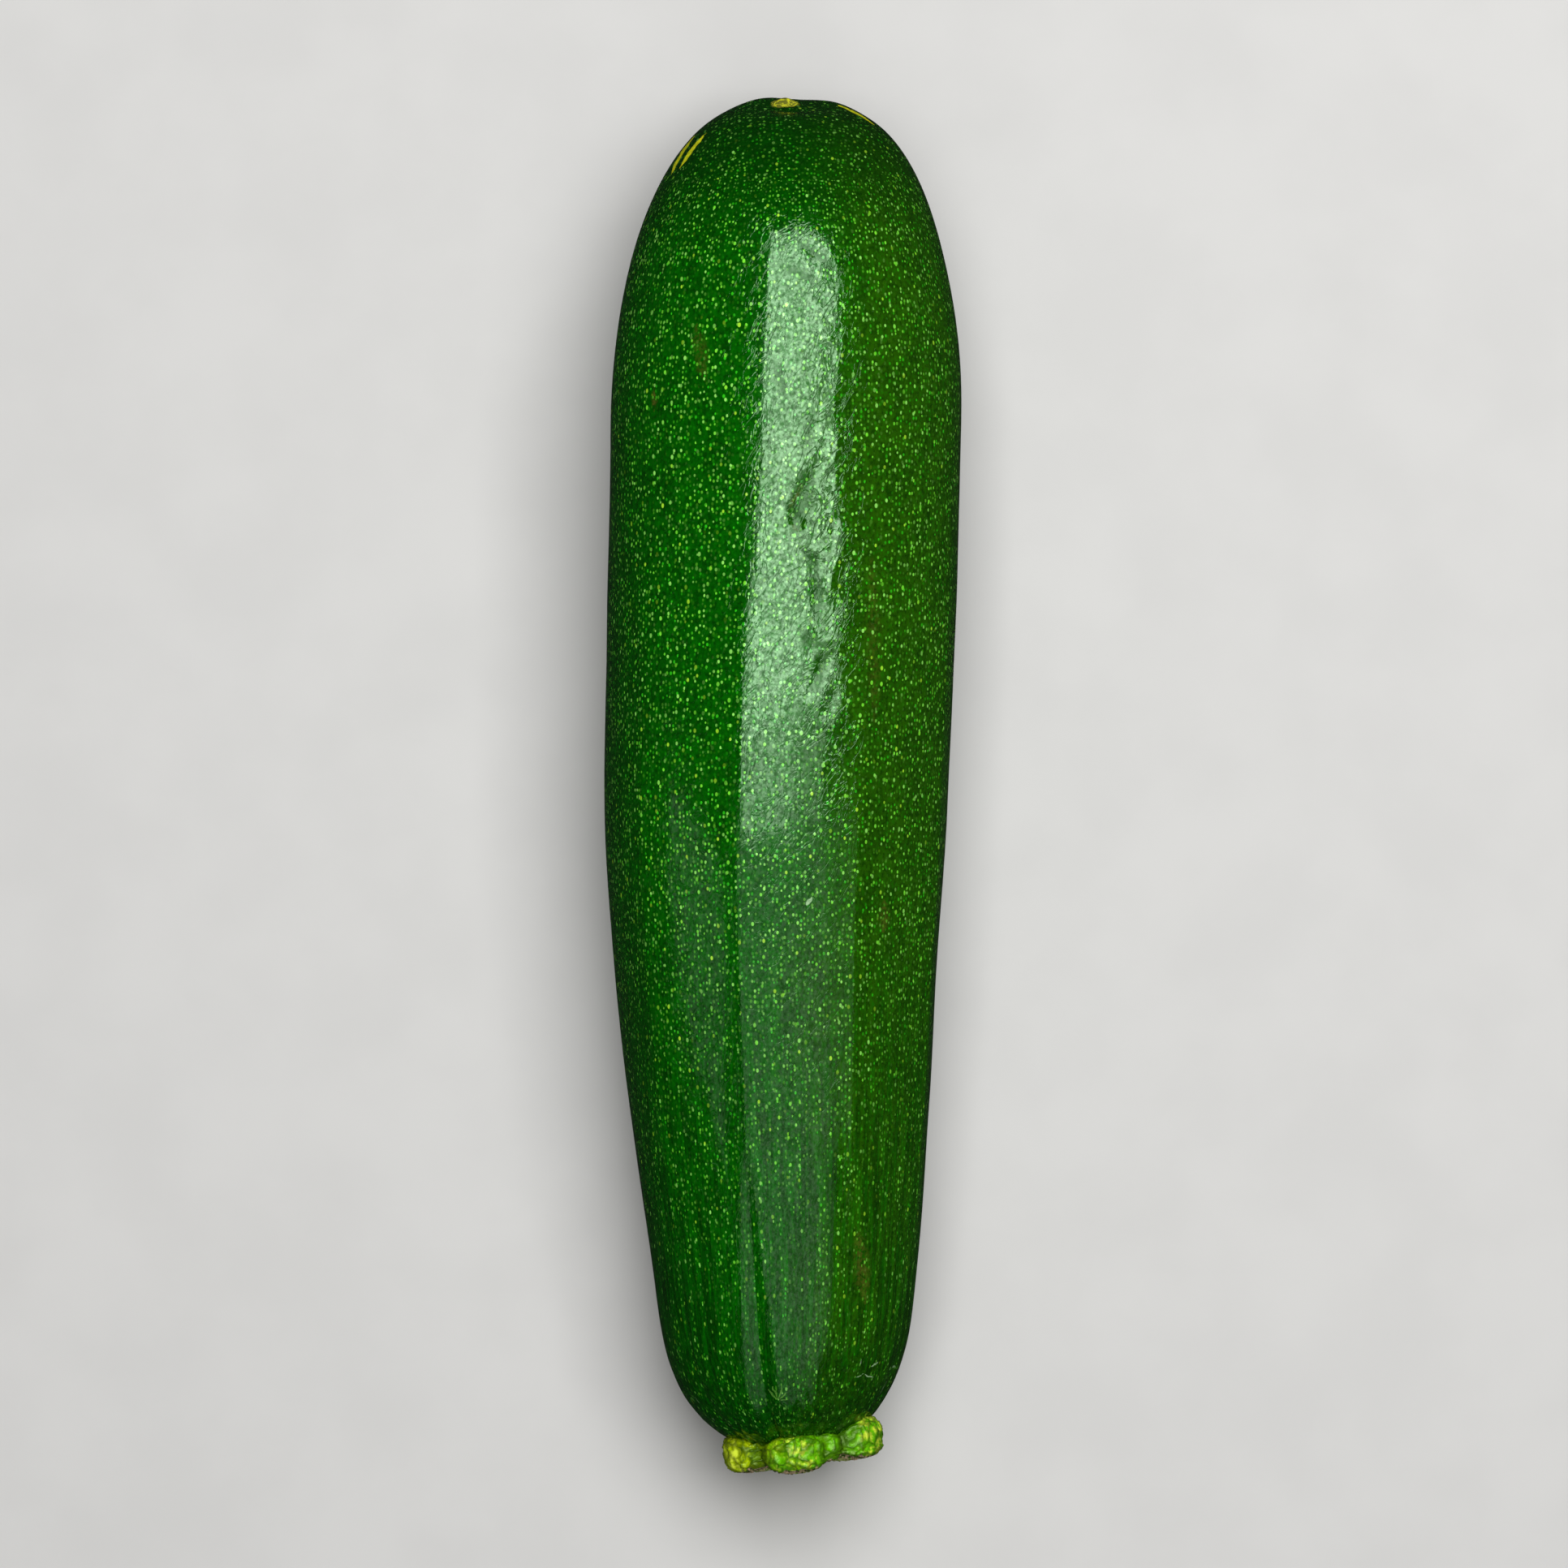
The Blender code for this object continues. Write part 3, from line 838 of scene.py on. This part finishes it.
def paint_marks(tree, colour, spots):
    """Lays the marks over the colour, each between the points of the skin that its two pixels show."""
    place = vectors(tree, "SCALE", add(tree, "TexCoord").outputs["Object"], 1 / MM)
    ragged = ease(tree, clouds(tree, place, *RAGGED_CLOUDS), *RAGGED_STEP)
    thinned = line(tree, ragged, 1 - RAGGED_LEAST, RAGGED_LEAST)
    inputs = {"Vector": place, "Scale": 1 / MARK_WANDER_SIZE, "Detail": MARK_WANDER_DETAIL}
    nudge = vectors(tree, "SUBTRACT", add(tree, "TexNoise", inputs=inputs).outputs["Color"], HALF_GREY)
    place = vectors(tree, "MULTIPLY_ADD", nudge, (MARK_WANDER,) * 3, place)
    for kind, half_width, strength, first, last in MARKS:
        solid, texture = (0.0, ragged) if kind in PATCHY else (SOLID_SHARE, thinned)
        mask = stroke(tree, place, spots[first] / MM, spots[last] / MM, half_width, solid)
        mask = times(tree, times(tree, mask, texture), strength)
        colour = blend(tree, mask, colour, MARK_COLOURS[kind])
    return colour


def dot_pattern(tree, skin_length):
    """The place on which the dots lie, in mm: the skin unrolled, but seen from the pole on the dome."""
    uv = add(tree, "UVMap", uv_map="OFBake").outputs[0]
    unrolled = vectors(tree, "MULTIPLY", uv, (math.pi * FRUIT_WIDTH / MM, skin_length, 0))
    on_dome = maths(tree, "LESS_THAN", axis_of(tree, unrolled, "Y"), DOME_REACH)
    return blend(tree, on_dome, unrolled, attribute(tree, "dome", "Vector"))


def ground_colour(tree, grown, side):
    """The greens under the dots: the left one and the right one, with darker patches and a fine mottle."""
    colour = blend(tree, side, LEFT_GREEN, RIGHT_GREEN)
    colour = tinted(tree, colour, clouds(tree, grown, *SHADE_CLOUDS), SHADE_TINTS)
    return tinted(tree, colour, clouds(tree, grown, *MOTTLE_CLOUDS), MOTTLE_TINTS)


def paint_lanes(tree, colour, grown, along, lanes):
    """Dark lanes and light streaks that run to the stem, a darker stem end, and painted shade on the blossom
    end and the lower flanks.
    """
    stemward = ease(tree, along, *STEMWARD_STEP)
    colour = tinted(tree, colour, lanes, LANE_TINTS, stemward)
    colour = tinted(tree, colour, clouds(tree, grown, *STREAK_CLOUDS), STREAK_TINTS, stemward)
    # Painted shade on the blossom end, and a darker skin towards the stem
    colour = tinted(tree, colour, along, BLOSSOM_SHADE_AND_DARK_STEM_TINTS)
    # Painted shade on the lower flanks
    return tinted(tree, colour, axis_of(tree, grown, "Z"), LOW_FLANK_SHADE_TINTS)


def paint_dots(tree, colour, pattern, along, lanes, side):
    """Small and large pale dots, in rows near the stem. Gives the colour and the dots' strength."""
    near_stem = ease(tree, along, *NEAR_STEM_STEP)
    gaps = maths(tree, "SUBTRACT", ease(tree, lanes, *IN_ROW_STEP), 1.0)
    in_rows = times(tree, line(tree, gaps, near_stem, 1.0), ease(tree, along, *DOTS_BEGIN_STEP))
    fainter = line(tree, side, -RIGHT_DOT_LOSS, 1.0)
    small, small_lot = specks(tree, pattern, *SMALL_DOTS)
    small = times(tree, small, line(tree, near_stem, -SMALL_DOT_LOSS, 1.0))
    small = times(tree, times(tree, small, fainter), in_rows)
    colour = blend(tree, small, colour, tinted(tree, SPECK_GREEN, small_lot, SMALL_DOT_TINTS))
    large, large_lot = specks(tree, pattern, *LARGE_DOTS)
    held = line(tree, in_rows, 1 - LARGE_DOT_HOLD, LARGE_DOT_HOLD)
    large = times(tree, times(tree, large, fainter), held)
    colour = blend(tree, large, colour, tinted(tree, SPECK_PALE, large_lot, LARGE_DOT_TINTS))
    return colour, maths(tree, "MAXIMUM", small, large)


def paint_scar(tree, colour, grown):
    """The corky scar beside the blossom pole."""
    off_middle = vectors(tree, "DISTANCE", attribute(tree, "dome", "Vector"), SCAR_MIDDLE)
    cork = clouds(tree, grown, *SCAR_CLOUDS)
    scar = ease(tree, line(tree, cork, SCAR_RAGGEDNESS, off_middle), *SCAR_STEP)
    return blend(tree, scar, colour, tinted(tree, SCAR_DARK, cork, SCAR_TINTS))


def fold_creases(tree, grown):
    """The dull creases of hammered, crumpled skin, strongest where it is crumpled."""
    turned = add(tree, "VectorRotate", rotation_type="Z_AXIS", inputs={"Vector": grown, "Angle": FOLD_TURN})
    hammered = clouds(tree, turned.outputs[0], *FOLD_CLOUDS)
    off_crease = maths(tree, "ABSOLUTE", line(tree, hammered, 2.0, -1.0))
    crumpled = attribute(tree, "crumpled", "Fac")
    return times(tree, ease(tree, off_crease, *FOLD_STEP), line(tree, crumpled, *FOLD_DULLNESS))


def set_gloss(tree, shader, grown, dented, dots):
    """Waxy grains that shine, creases and dents that are duller, a coat on the dots, and the fine bumps."""
    pebble = clouds(tree, grown, *PEBBLE_CLOUDS)
    grain = ease(tree, clouds(tree, grown, *GRAIN_CLOUDS), *GRAIN_STEP)
    crease = fold_creases(tree, grown)
    dull_dent = times(tree, dented, line(tree, grain, *DENT_DULLNESS))
    dulled = maths(tree, "MAXIMUM", crease, dull_dent)
    waxy = maths(tree, "SUBTRACT", 1.0, dulled)
    height = line(tree, dots, DOT_BUMP, times(tree, pebble, PEBBLE_BUMP))
    height = line(tree, crease, FOLD_BUMP, height)
    bump = add(tree, "Bump", inputs={"Strength": 1.0, "Distance": BUMP_HEIGHT, "Height": height}).outputs[0]
    settings = {
        "Specular IOR Level": times(tree, line(tree, grain, *GRAIN_SHINE), waxy),
        "Specular Tint": SHEEN_TINT,
        "Roughness": line(tree, dulled, DULL_ROUGHNESS, line(tree, pebble, *PEBBLE_ROUGHNESS)),
        "Coat Weight": times(tree, dots, waxy),
        "Coat Roughness": DOT_COAT_ROUGHNESS,
        "Normal": bump,
        "Coat Normal": bump,
    }
    for name, value in settings.items():
        plug(tree, value, shader.inputs[name])


def skin_material(spots, skin_length):
    made, tree, shader = new_material("courgette_skin")
    grown = attribute(tree, "grown", "Vector")
    along = attribute(tree, "along", "Fac")
    dented = attribute(tree, "dented", "Fac")
    lanes = clouds(tree, grown, *LANE_CLOUDS)
    side = wandering(tree, axis_of(tree, grown, "X"), grown, SIDE_CLOUDS, SIDE_WANDER)
    side = ease(tree, side, *SIDE_STEP)
    colour = ground_colour(tree, grown, side)
    colour = paint_lanes(tree, colour, grown, along, lanes)
    colour, dots = paint_dots(tree, colour, dot_pattern(tree, skin_length), along, lanes, side)
    # Painted shade in the dents
    colour = blend(tree, times(tree, dented, DENT_PAINTED_SHADE), colour, DARK_GREEN)
    colour = paint_marks(tree, colour, spots)
    plug(tree, paint_scar(tree, colour, grown), shader.inputs["Base Color"])
    set_gloss(tree, shader, grown, dented, dots)
    return made


# Tones of the stem stub
STUB_YELLOW = (0.43, 0.58, 0.002)
STUB_LIME = (0.14, 0.51, 0.001)
STUB_OLIVE = (0.075, 0.190, 0.002)
STUB_DEEP = (0.012, 0.055, 0.001)
STUB_BRIGHT = (0.78, 0.95, 0.06)
CORK = (0.50, 0.36, 0.22)
CUT_PALE = (0.46, 0.52, 0.17)
CUT_GREEN = (0.22, 0.34, 0.06)

# Clouds, steps and tints of the stub, in the same order as the skin's
STUB_SIDE_CLOUDS = (EVEN, 4.0, 3.0)
STUB_SIDE_WANDER = 14.0
STUB_SIDE_STEP = (-7.5, -0.5)
PATCH_CLOUDS = (EVEN, 1.2, 4.0, 0.6)
LOBE_PAINTED_LIGHT = 0.40
# Painted light and shade on the lobes, over random patches: brightest on the lobes' crests, olive between
# them, and deep green in the creases
CREST_LIGHT_AND_SHADE_TINTS = (
    (STUB_OLIVE, 0.58, 0.84, 0.85, 0.0),
    (STUB_BRIGHT, 0.86, 1.02, 0.0, 0.85),
)
# Painted shade: deep green in the creases between the knobs and the pimples
KNOB_CREASE_SHADE_TINTS = ((STUB_DEEP, 0.0, 0.45, 0.72, 0.0),)
PIMPLE_CREASE_SHADE_TINTS = ((STUB_DEEP, 0.0, 0.35, 0.30, 0.0),)
FIBRE_CLOUDS = (EVEN, 0.45, 3.0, 0.7)
FIBRE_STEP = (0.40, 0.60)
CUT_CLOUDS = (EVEN, 1.6, 4.0, 0.7)
CUT_RAGGEDNESS = 0.50
RIM_STEP = (0.62, 0.68)
FACE_STEP = (0.86, 0.94)
BUNDLE_SQUEEZE = (1, 1, 0)  # none of them depends on the height over the cut face
BUNDLE_SIZE = 1.5  # mm between the fibre bundles in the cut face
BUNDLE_STEP = (0.20, 0.45)
STUB_ROUGHNESS = (0.0, 1.0, 0.16, 0.34)
STUB_SHINE = 0.50
STUB_SHEEN_TINT = (0.75, 1.0, 0.40, 1)
STUB_GRAIN_CLOUDS = (EVEN, 0.30, 3.0, 0.6)
STUB_BUMP_HEIGHT = 0.06 * MM


def stub_greens(tree, place):
    side = wandering(tree, axis_of(tree, place, "X"), place, STUB_SIDE_CLOUDS, STUB_SIDE_WANDER)
    colour = blend(tree, ease(tree, side, *STUB_SIDE_STEP), STUB_YELLOW, STUB_LIME)
    crest = line(tree, attribute(tree, "lobe", "Fac"), LOBE_PAINTED_LIGHT, clouds(tree, place, *PATCH_CLOUDS))
    colour = tinted(tree, colour, crest, CREST_LIGHT_AND_SHADE_TINTS)
    colour = tinted(tree, colour, attribute(tree, "knob", "Fac"), KNOB_CREASE_SHADE_TINTS)
    return tinted(tree, colour, attribute(tree, "pimple", "Fac"), PIMPLE_CREASE_SHADE_TINTS)


def paint_cut(tree, colour, place, fibres):
    """The corky rim and the pale cut face, with its fibre bundles."""
    cut = attribute(tree, "cut_face", "Fac")
    into_cut = line(tree, clouds(tree, place, *CUT_CLOUDS), CUT_RAGGEDNESS, cut)
    colour = blend(tree, ease(tree, into_cut, *RIM_STEP), colour, blend(tree, fibres, STUB_DEEP, CORK))
    inputs = {"Vector": vectors(tree, "MULTIPLY", place, BUNDLE_SQUEEZE), "Scale": 1 / BUNDLE_SIZE}
    off_bundle = add(tree, "TexVoronoi", inputs=inputs).outputs["Distance"]
    pith = blend(tree, fibres, CUT_GREEN, CUT_PALE)
    face = blend(tree, ease(tree, off_bundle, *BUNDLE_STEP), CORK, pith)
    return blend(tree, ease(tree, into_cut, *FACE_STEP), colour, face)


def stub_material():
    made, tree, shader = new_material("courgette_stem")
    place = attribute(tree, "grown", "Vector")
    fibres = ease(tree, clouds(tree, place, *FIBRE_CLOUDS), *FIBRE_STEP)
    grain = clouds(tree, place, *STUB_GRAIN_CLOUDS)
    bump = add(tree, "Bump", inputs={"Strength": 1.0, "Distance": STUB_BUMP_HEIGHT, "Height": grain})
    settings = {
        "Base Color": paint_cut(tree, stub_greens(tree, place), place, fibres),
        "Roughness": ease(tree, fibres, *STUB_ROUGHNESS),
        "Specular IOR Level": STUB_SHINE,
        "Specular Tint": STUB_SHEEN_TINT,
        "Normal": bump.outputs[0],
    }
    for name, value in settings.items():
        plug(tree, value, shader.inputs[name])
    return made


# Studio, in metres
PANEL_HEIGHT = 1.05
# Panels: low and high x, low and high y, radiance
PANELS = {
    "softbox": (-0.280, 0.640, -0.07, 0.80, 5.8),
    "softbox_end": (-0.280, 0.200, -0.19, -0.07, 2.9),
    "softbox_corner": (0.200, 0.460, -0.19, -0.07, 1.4),
    "low_panel": (-0.62, 0.50, -1.20, -0.19, 0.55),
    "low_panel_edge": (0.50, 0.85, -1.20, -0.19, 0.27),
    "far_panel": (-0.62, 0.70, -3.60, -1.20, 0.33),
    "side_panel": (-3.40, -1.15, -0.64, -0.30, 0.36),
}
WORLD_COLOUR = (1, 1, 1, 1)
WORLD_LIGHT = 0.012
FLOOR_HALF = 3.0
FLOOR_COLOUR = (0.66, 0.655, 0.64)
FLOOR_CLOUDS = (EVEN, 0.02, 4.0)
FLOOR_STEP = (0.3, 0.7, 0.96, 1.0)
FLOOR_ROUGHNESS = 0.8
CAMERA_REACH = 10


def make_panel(name, low_x, high_x, low_y, high_y, radiance):
    light = bpy.data.lights.new(name, "AREA")
    light.shape = "RECTANGLE"
    light.size, light.size_y = high_x - low_x, high_y - low_y
    light.energy = radiance * math.pi * light.size * light.size_y
    made = bpy.data.objects.new(name, light)
    made.location = ((low_x + high_x) / 2, (low_y + high_y) / 2, PANEL_HEIGHT)
    bpy.context.scene.collection.objects.link(made)


def floor_material():
    """Pale and almost plain."""
    made, tree, shader = new_material("floor")
    tone = ease(tree, clouds(tree, add(tree, "TexCoord").outputs["Object"], *FLOOR_CLOUDS), *FLOOR_STEP)
    plug(tree, blend(tree, 1.0, FLOOR_COLOUR, tone, "MULTIPLY"), shader.inputs["Base Color"])
    shader.inputs["Roughness"].default_value = FLOOR_ROUGHNESS
    return made


def make_floor():
    """The skin's reflections leave the floor out, because it is paler than the one in the photograph."""
    mesh = bpy.data.meshes.new("floor")
    corners = [(x * FLOOR_HALF, y * FLOOR_HALF, 0) for x, y in ((-1, -1), (1, -1), (1, 1), (-1, 1))]
    mesh.from_pydata(corners, [], [(0, 1, 2, 3)])
    mesh.materials.append(floor_material())
    floor = bpy.data.objects.new("floor", mesh)
    bpy.context.scene.collection.objects.link(floor)
    floor.visible_glossy = False


def spots_on(skin, camera):
    """The point of the skin that each mark's pixel shows, seen by the camera."""
    graph = bpy.context.evaluated_depsgraph_get()
    surface = BVHTree.FromObject(skin, graph)
    found = {}
    for *_, first, last in MARKS:
        for pixel in (first, last):
            aim = Vector((*on_photo(pixel), SILHOUETTE_HEIGHT))
            hit = surface.ray_cast(camera.location, (aim - camera.location).normalized())[0]
            found[pixel] = hit or surface.find_nearest(aim)[0]
    return found


def make_world():
    world = bpy.data.worlds.new("studio")
    world.use_nodes = True
    background = world.node_tree.nodes["Background"]
    background.inputs["Color"].default_value = WORLD_COLOUR
    background.inputs["Strength"].default_value = WORLD_LIGHT
    bpy.context.scene.world = world


def make_camera():
    camera = bpy.data.cameras.new("camera")
    camera.sensor_width = SENSOR
    camera.lens = SENSOR * CAMERA_DISTANCE / (PHOTO_SIDE * PIXEL)
    camera.clip_end = CAMERA_REACH
    made = bpy.data.objects.new("camera", camera)
    middle = PHOTO_SIDE / 2
    made.location = (*on_photo((middle, middle)), SILHOUETTE_HEIGHT + CAMERA_DISTANCE)
    bpy.context.scene.collection.objects.link(made)
    bpy.context.scene.camera = made
    return made


def main():
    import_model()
    camera = make_camera()
    fruit, seat, skin_length = make_fruit()
    fruit.data.materials.append(skin_material(spots_on(fruit, camera), skin_length))
    stub = make_stub(seat)
    stub.data.materials.append(stub_material())
    for piece, node, slot in ((fruit, "fruit", "skin"), (stub, "stem_stub", "stem")):
        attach(piece, "root")
        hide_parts(node)
    make_floor()
    make_world()
    for name, extent in PANELS.items():
        make_panel(name, *extent)
    bpy.context.scene.view_settings.view_transform = "Standard"


main()
